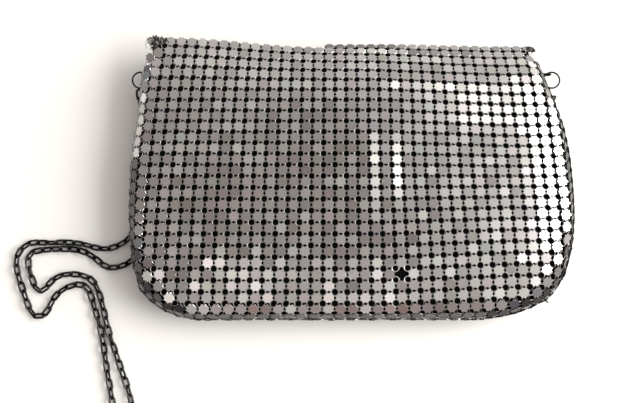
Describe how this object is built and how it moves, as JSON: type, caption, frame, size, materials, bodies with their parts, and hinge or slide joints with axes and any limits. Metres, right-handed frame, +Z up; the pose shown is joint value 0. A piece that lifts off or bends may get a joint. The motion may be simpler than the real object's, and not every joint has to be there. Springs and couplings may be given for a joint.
{
  "type": "evening bag",
  "caption": "Soft pouch of metal ring mesh with a hinged frame, a lining and a long chain strap, lying on its back.",
  "frame": {"origin": "on the surface that the bag lies on, under the middle of the pouch", "axes": "+X across the bag, +Y from its bottom to its mouth, +Z up from the surface, so the front faces up"},
  "size_m": [0.2598, 0.2283, 0.024],
  "materials": {
    "ring_mesh": "polished pewter-toned discs",
    "lining": "black satin",
    "frame_steel": "satin",
    "magnet": "nickel plated",
    "dark_metal": "gunmetal plated",
    "chain": "gunmetal plated"
  },
  "bodies": {
    "pouch": {"mesh_front": "ring_mesh", "mesh_back": "ring_mesh", "lining_front": "lining", "lining_back": "lining", "frame_back": "frame_steel", "magnet_back": "magnet", "hinge_rivet_left": "dark_metal", "hinge_rivet_right": "dark_metal", "hinge_washer_left": "dark_metal", "hinge_washer_right": "dark_metal", "ring_lug_left": "dark_metal", "ring_lug_right": "dark_metal", "chain_left_run": "chain", "chain_right_run": "chain", "chain_coil": "chain"},
    "front_frame": {"frame_front": "frame_steel", "magnet_front": "magnet", "mesh_front_lip": "ring_mesh", "lining_front_lip": "lining", "mesh_front_fold": "ring_mesh", "lining_front_fold": "lining"},
    "left_ring": {"strap_ring_left": "dark_metal"},
    "right_ring": {"strap_ring_right": "dark_metal"}
  },
  "joints": [
    {"name": "frame_open", "type": "hinge", "parent": "pouch", "child": "front_frame", "pos_m": [-0.0024, 0.0485, 0.012], "axis": [1, 0, 0], "range_deg": [0, 95], "deforming": ["mesh_front_fold", "lining_front_fold"]},
    {"name": "strap_ring_left_swing", "type": "hinge", "parent": "pouch", "child": "left_ring", "pos_m": [-0.0948, 0.0485, 0.012], "axis": [0, 0, -1], "range_deg": [0, 150]},
    {"name": "strap_ring_right_swing", "type": "hinge", "parent": "pouch", "child": "right_ring", "pos_m": [0.09, 0.0485, 0.012], "axis": [0, 0, 1], "range_deg": [0, 150]}
  ]
}
